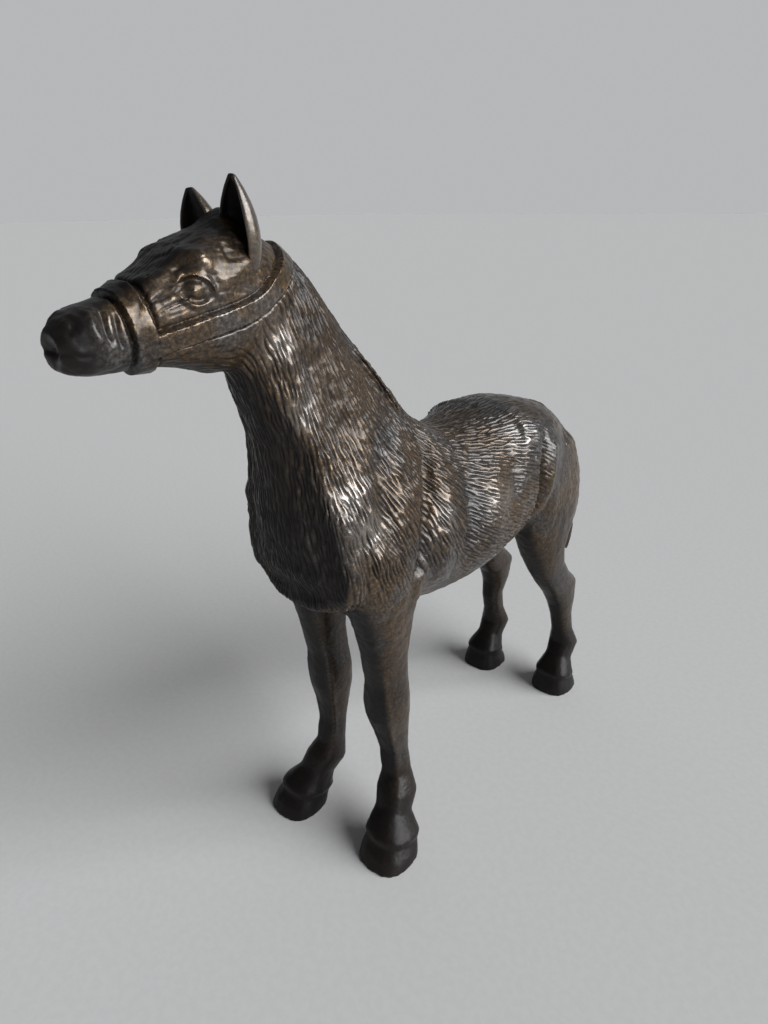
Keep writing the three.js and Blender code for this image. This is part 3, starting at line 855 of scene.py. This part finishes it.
class Finish:
    """A material with one principled shader, and short ways to add nodes to it."""

    def __init__(self, name):
        self.material = bpy.data.materials.new(name)
        self.material.use_nodes = True
        tree = self.material.node_tree
        self.nodes, self.links = tree.nodes, tree.links
        self.nodes.clear()
        self.shader = self.nodes.new("ShaderNodeBsdfPrincipled")
        output = self.nodes.new("ShaderNodeOutputMaterial")
        self.links.new(self.shader.outputs["BSDF"], output.inputs["Surface"])

    def put(self, socket, value):
        """Set a socket to a number or a colour, or link a node's output to it."""
        if isinstance(value, bpy.types.NodeSocket):
            self.links.new(value, socket)
        elif isinstance(value, tuple):
            socket.default_value = (*value, 1)
        else:
            socket.default_value = value

    def shade(self, **values):
        """Set or link sockets of the shader. An underscore stands for a space in their names."""
        for name, value in values.items():
            self.put(self.shader.inputs[name.replace("_", " ")], value)

    def mark(self, name):
        """A number that each point of the mesh holds."""
        made = self.nodes.new("ShaderNodeAttribute")
        made.attribute_name = name
        return made.outputs["Fac"]

    def noise(self, scale, detail=4.0, rough=0.55):
        """Noise in the object's own space. The scale is in features per metre."""
        place = self.nodes.new("ShaderNodeTexCoord")
        made = self.nodes.new("ShaderNodeTexNoise")
        made.inputs["Scale"].default_value = scale
        made.inputs["Detail"].default_value = detail
        made.inputs["Roughness"].default_value = rough
        self.links.new(place.outputs["Object"], made.inputs["Vector"])
        return made.outputs["Fac"]

    def ramp(self, value, stops):
        """A colour for each value, smoothly between stops of a value and its colour."""
        made = self.nodes.new("ShaderNodeValToRGB")
        self.links.new(value, made.inputs["Fac"])
        elements = made.color_ramp.elements
        while len(elements) < len(stops):
            elements.new(0.5)
        for element, (place, colour) in zip(elements, stops):
            element.position = place
            element.color = (*colour, 1)
        return made.outputs["Color"]

    def maths(self, operation, *values, clamp=False):
        made = self.nodes.new("ShaderNodeMath")
        made.operation = operation
        made.use_clamp = clamp
        for socket, value in zip(made.inputs, values):
            self.put(socket, value)
        return made.outputs[0]

    def scaled(self, value, factor, shift=0.0):
        """The value times the factor, plus the shift."""
        return self.maths("MULTIPLY_ADD", value, factor, shift)

    def mix(self, share, a, b):
        """Colour a where the share is 0, and colour b where it is 1."""
        made = self.nodes.new("ShaderNodeMix")
        made.data_type = "RGBA"
        self.put(made.inputs["Factor"], share)
        self.put(made.inputs[6], a)
        self.put(made.inputs[7], b)
        return made.outputs[2]

    def roughen(self, height, strength, distance):
        """Small unevenness of the surface, from a height."""
        bump_node = self.nodes.new("ShaderNodeBump")
        bump_node.inputs["Strength"].default_value = strength
        bump_node.inputs["Distance"].default_value = distance
        self.links.new(height, bump_node.inputs["Height"])
        self.shade(Normal=bump_node.outputs["Normal"])


CLOUDS = 60  # features per metre of the noises
TINTS = 42
SPECKLE = 1100
OXIDE = [(0.35, (0.007, 0.006, 0.006)), (0.65, (0.017, 0.013, 0.011))]
GREY_METAL = [
    (0.34, (0.036, 0.032, 0.03)), (0.5, (0.085, 0.075, 0.068)), (0.68, (0.21, 0.185, 0.165)),
]
OCHRE_METAL = [
    (0.34, (0.036, 0.025, 0.017)), (0.5, (0.095, 0.06, 0.031)), (0.68, (0.25, 0.145, 0.06)),
]
# Pale metal of the painted highlights on the polished spots
HIGHLIGHT_METAL = (0.34, 0.315, 0.29)
GREY_TO_OCHRE = [(0.4, (0, 0, 0)), (0.54, (1, 1, 1))]


def bronze(name):
    """Old patinated bronze: a dull dark oxide, near black in the cuts, that is worn through to
    warm metal where it stands proud and where hands hold it, under a thin coat of wax. Where
    that mark is low on planes facing the front or down it is painted shade, and polished
    spots are lightened to pale metal as painted highlights."""
    finish = Finish(name)
    cloud = finish.noise(CLOUDS, 5)
    fine = finish.noise(SPECKLE, 5, 0.65)
    # Polished spots: lower roughness, and a painted highlight that lightens the colour to pale metal
    polished_highlight = finish.scaled(finish.mark("polish_and_highlight"), 0.65)

    patchy = finish.scaled(cloud, 1.6, 0.1)
    # Light worn metal where the mark is high; where it is low, painted shade keeps the oxide dark
    rubbed_and_lit = finish.maths("MULTIPLY", finish.mark("rub_and_light"), patchy, clamp=True)
    rubbed_and_lit = finish.maths("ADD", rubbed_and_lit, polished_highlight, clamp=True)
    out_of_cuts = finish.maths("SUBTRACT", 1, finish.mark("relief"), clamp=True)
    rubbed_and_lit = finish.maths("MULTIPLY", rubbed_and_lit, out_of_cuts, clamp=True)

    ochre_share = finish.ramp(finish.noise(TINTS, 3), GREY_TO_OCHRE)
    grey, ochre = finish.ramp(fine, GREY_METAL), finish.ramp(fine, OCHRE_METAL)
    # Painted highlight: polished spots turn to pale metal
    metal = finish.mix(polished_highlight, finish.mix(ochre_share, grey, ochre), HIGHLIGHT_METAL)
    colour = finish.mix(rubbed_and_lit, finish.ramp(cloud, OXIDE), metal)

    rough = finish.maths("ADD", finish.scaled(rubbed_and_lit, -0.16, 0.38), finish.scaled(fine, 0.16, -0.04))
    rough = finish.maths("SUBTRACT", rough, finish.scaled(polished_highlight, 0.12))
    finish.shade(Base_Color=colour, Metallic=finish.scaled(rubbed_and_lit, 0.6, 0.2), Roughness=rough)
    finish.shade(Specular_IOR_Level=0.2)
    finish.shade(Coat_Weight=finish.scaled(rubbed_and_lit, 0.85, 0.04), Coat_Roughness=0.2)
    finish.roughen(fine, 0.3, 0.25 * MM)
    return finish.material


def joint_brass():
    """Clean brass with a faint turned grain, for the dowels and the sleeve inside the horse."""
    finish = Finish("joint_brass")
    grain = finish.noise(900, 3)
    tone = finish.ramp(grain, [(0.35, (0.3, 0.19, 0.07)), (0.65, (0.46, 0.31, 0.13))])
    finish.shade(Base_Color=tone, Roughness=finish.scaled(grain, 0.15, 0.28), Metallic=1.0)
    return finish.material


def matt_paint(name, colour):
    """A matt surface with a faint grain."""
    finish = Finish(name)
    darker = tuple(c * 0.97 for c in colour)
    tone = finish.ramp(finish.noise(400), [(0.4, darker), (0.6, colour)])
    finish.shade(Base_Color=tone, Roughness=0.9, Specular_IOR_Level=0)
    return finish.material


# --- The stage -------------------------------------------------------------------------------


FLOOR_REACH = 12.0  # metres
FLOOR_COLOUR = (0.635, 0.617, 0.6)


def floor():
    """A pale floor that reaches so far that its end lies at the horizon."""
    mesh = bpy.data.meshes.new("floor")
    corners = [(x * FLOOR_REACH, y * FLOOR_REACH, 0) for x, y in ((-1, -1), (1, -1), (1, 1), (-1, 1))]
    mesh.from_pydata(corners, [], [(0, 1, 2, 3)])
    obj = bpy.data.objects.new("floor", mesh)
    bpy.context.scene.collection.objects.link(obj)
    mesh.materials.append(matt_paint("floor_paint", FLOOR_COLOUR))


ROOM_LIGHT = ((0.92, 0.96, 1.0, 1), 0.09)  # colour and strength
BACKDROP = ((0.97, 0.98, 1.0, 1), 0.485)


def world():
    """A pale backdrop that lights the horse only dimly, as a dim room would."""
    made = bpy.data.worlds.new("studio")
    made.use_nodes = True
    nodes, links = made.node_tree.nodes, made.node_tree.links
    backdrop = nodes["Background"]
    room = nodes.new("ShaderNodeBackground")
    seen = nodes.new("ShaderNodeLightPath")
    share = nodes.new("ShaderNodeMixShader")
    for node, (colour, strength) in ((room, ROOM_LIGHT), (backdrop, BACKDROP)):
        node.inputs["Color"].default_value = colour
        node.inputs["Strength"].default_value = strength
    links.new(seen.outputs["Is Camera Ray"], share.inputs[0])
    links.new(room.outputs[0], share.inputs[1])
    links.new(backdrop.outputs[0], share.inputs[2])
    links.new(share.outputs[0], nodes["World Output"].inputs["Surface"])
    bpy.context.scene.world = made


LIGHT_COLOUR = (0.93, 0.965, 1.0)
LIGHTS = [
    # name, the way towards it, strength, and its width in degrees: a window on the horse's
    # left, a little behind its shoulder, and a faint one behind it on the right
    ("window", (0.86, 0.28, 0.36), 5.8, 60),
    ("far_window", (-0.6, 0.75, 0.35), 0.4, 90),
]


def lights():
    for name, way, strength, width in LIGHTS:
        light = bpy.data.lights.new(name, "SUN")
        light.energy = strength
        light.angle = math.radians(width)
        light.color = LIGHT_COLOUR
        obj = bpy.data.objects.new(name, light)
        obj.rotation_euler = Vector(way).to_track_quat("Z", "Y").to_euler()
        bpy.context.scene.collection.objects.link(obj)


CAMERA_AZIMUTH = math.radians(42.0)
CAMERA_ELEVATION = math.radians(23.8)
CAMERA_ROLL = math.radians(-0.76)
CAMERA_DISTANCE = 250.0
CAMERA_TARGET = (-14.5, -14.9, 106.7)


def camera():
    """The camera stands to the left of the horse's head and looks down on it."""
    target = Vector(np.array(CAMERA_TARGET) * MM + ORIGIN)
    back = Vector((math.sin(CAMERA_AZIMUTH) * math.cos(CAMERA_ELEVATION),
                   -math.cos(CAMERA_AZIMUTH) * math.cos(CAMERA_ELEVATION),
                   math.sin(CAMERA_ELEVATION)))
    data = bpy.data.cameras.new("camera")
    data.lens = 24.6
    data.sensor_width = 36
    data.clip_start = 0.01
    obj = bpy.data.objects.new("camera", data)
    obj.location = target + back * CAMERA_DISTANCE * MM
    level = (-back).to_track_quat("-Z", "Y").to_matrix()
    obj.rotation_euler = (level @ Matrix.Rotation(CAMERA_ROLL, 3, "Z")).to_euler()
    bpy.context.scene.collection.objects.link(obj)
    bpy.context.scene.camera = obj


# --- Wear and painted light ------------------------------------------------------------------


POLISHED_HIGHLIGHTS = [
    # place, radius and strength of the spots on the left that hands have polished and that are
    # lightened as painted highlights
    ((17.5, -64, 136), 6, 1),
    ((20, -60, 126), 6.5, 1),
    ((11.5, -73, 160), 4.5, 0.8),
    ((10.5, -78, 178), 4.5, 0.7),
    ((25, -29, 121), 6, 0.5),
    ((26, -4, 120), 6, 0.5),
    ((21, 18, 135.5), 6, 1),
    ((8, -104, 191), 4, 0.3),
    ((10, -95, 197), 4, 0.25),
]
WEAR_REACH = 30  # rounds of blurring that give the form without its detail


def polish_and_highlight(places):
    """How much hands have polished each place, and how much it is lightened as a painted
    highlight. Both sides are alike.
    """
    share = np.zeros(len(places))
    for place, radius, strength in POLISHED_HIGHLIGHTS:
        for side in SIDES:
            gap = np.linalg.norm(places - np.array(place) * (side, 1, 1), axis=1)
            share = np.maximum(share, strength * np.exp(-(gap / radius) ** 2))
    return share


def handled_and_lit(skin, normals):
    """How much each point is worn through to warm metal: the sides and the back most, the upper
    neck and the legs less, and the hooves not at all. The rest is painted shade: planes that
    face the front or down and the crown of the head get less, and the tip of the muzzle none,
    so that they stay dark."""
    _, y, z = skin.points.T
    soft = unit(skin.blurred(normals, WEAR_REACH))
    on_head = smoothstep(172, 185, z) * smoothstep(-70, -80, y)
    upper_neck = smoothstep(146, 158, z) * smoothstep(-74, -66, y)
    # Painted shade: planes facing the front or down, and the top of the head, get less worn metal and
    # stay dark
    outwards = np.hypot(soft[:, 0], np.maximum(soft[:, 2], 0) * (1 - 0.8 * on_head))
    share = smoothstep(0.2, 0.8, outwards - 0.15 * on_head)
    share *= 0.45 * smoothstep(15, 40, z) + 0.55 * smoothstep(75, 105, z)
    # Painted shade: the tip of the muzzle stays dark oxide
    share *= smoothstep(-123, -117, y)
    return share * (1 - 0.35 * upper_neck)


def wear_and_painted_light(skin, normals, cut):
    """The marks that the bronze reads: how deep in a cut, how far worn through to metal, partly
    as painted shade where that is low, and how polished each point is, partly as a painted
    highlight."""
    hollow = skin.blurred(skin.points, WEAR_REACH) - skin.points
    proud = smoothstep(-0.2, 0.35, -(hollow * normals).sum(axis=1))
    # Worn metal where this mark is high, and painted shade where it is low
    rub_and_light = handled_and_lit(skin, normals) * (0.35 + 0.65 * proud)
    return {"relief": np.clip(cut * 2.2, 0, 1), "rub_and_light": rub_and_light, "polish_and_highlight": polish_and_highlight(skin.points)}


# --- The horse -------------------------------------------------------------------------------


LEG_SMOOTHING = 4  # rounds on the whole form
TRUNK_SMOOTHING = 12  # more rounds on the trunk
STROKE_SMOOTHING = 2  # rounds on the trunk once it is modelled
LINING_GAP = 0.1  # between the lining of a strap or the mane and the casting under it


def on_trunk(skin):
    """1 on the trunk, neck and head, and less and less down the legs."""
    return smoothstep(70, 95, skin.points[:, 2])


def hammered(skin, rng):
    """Soft unevenness of a form that was worked by hand, in millimetres."""
    coarse = skin.blurred(rng.normal(0, 1, len(skin.points)), 40)
    fine = skin.blurred(rng.normal(0, 1, len(skin.points)), 8)
    return (0.02 + 0.06 * on_trunk(skin)) * coarse / coarse.std() + 0.015 * fine / fine.std()


def finish_piece(piece, name, bronzes):
    """Give a piece its material and its place in the part."""
    piece.data.materials.append(bronzes[SLOTS[name]])
    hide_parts(name)
    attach(piece, "root")


def part_skin(skin, normals, inward, laid, marks, bronzes):
    """Part the skin: first the straps and the mane, which lie on it, then the castings, which
    are sunk under them."""
    sunk = np.zeros(len(skin.points))
    for name, share in laid.items():
        faces = np.flatnonzero((share[skin.quads] > 0.5).all(axis=1))
        inside = np.bincount(skin.quads[faces].ravel(), minlength=len(skin.points)) == 4
        sunk[inside] = STRAP_HEIGHT + LINING_GAP
        piece = laid_piece(name + "_laid", skin, faces, normals, inward * STRAP_HEIGHT, marks)
        finish_piece(piece, name, bronzes)
    for number, name in enumerate(CASTINGS):
        faces = np.flatnonzero(skin.casting == number)
        piece = capped_piece(name + "_cast", skin, faces, normals, inward * sunk[:, None], marks)
        finish_piece(piece, name, bronzes)


def add_ears(bronzes):
    """The ears are pieces of their own, lighter on the outside only, as worn metal with a painted
    highlight, while the hollow stays dark oxide as painted shade.
    """
    for name, side in zip(("left_ear", "right_ear"), SIDES):
        leaf, outside = ear(side)
        # Painted light on the outside of the ear, and painted shade in its hollow
        marks = {"relief": 0 * outside, "rub_and_light": 0.6 * outside, "polish_and_highlight": 0.3 * outside}
        faces = np.arange(len(leaf.quads))
        piece = capped_piece(name + "_cast", leaf, faces, leaf.normals(), 0 * leaf.points, marks)
        finish_piece(piece, name, bronzes)


def finish_hidden_nodes():
    """The dowels and the sleeve inside the horse stay as the CAD has them, in brass."""
    brass = joint_brass()
    for name, node in frame["nodes"].items():
        if name not in SLOTS:
            node.data.materials.clear()
            node.data.materials.append(brass)


def build():
    rng = np.random.default_rng(SEED)
    skin = joined_form()
    trunk = on_trunk(skin)
    skin.smooth(LEG_SMOOTHING)
    skin.smooth(TRUNK_SMOOTHING, trunk)
    model_trunk(skin)
    skin.smooth(STROKE_SMOOTHING, trunk)
    skin = finer(skin)
    skin.points += skin.normals() * hammered(skin, rng)[:, None]
    model_forelegs(skin)
    model_head(skin)
    mane = model_mane(skin)
    straps = model_halter(skin)
    inward = skin.normals()
    bare = 1 - np.maximum(*straps.values())
    cut = chase(skin, rng, bare)
    normals = skin.normals()
    marks = wear_and_painted_light(skin, normals, cut)
    skin.points[:, 2] = np.maximum(skin.points[:, 2], 0)
    bronzes = {slot: bronze(slot) for slot in sorted(set(SLOTS.values()))}
    part_skin(skin, normals, inward, {**straps, "mane": mane}, marks, bronzes)
    add_ears(bronzes)
    finish_hidden_nodes()


build()
floor()
world()
lights()
camera()
bpy.context.scene.view_settings.view_transform = "Standard"
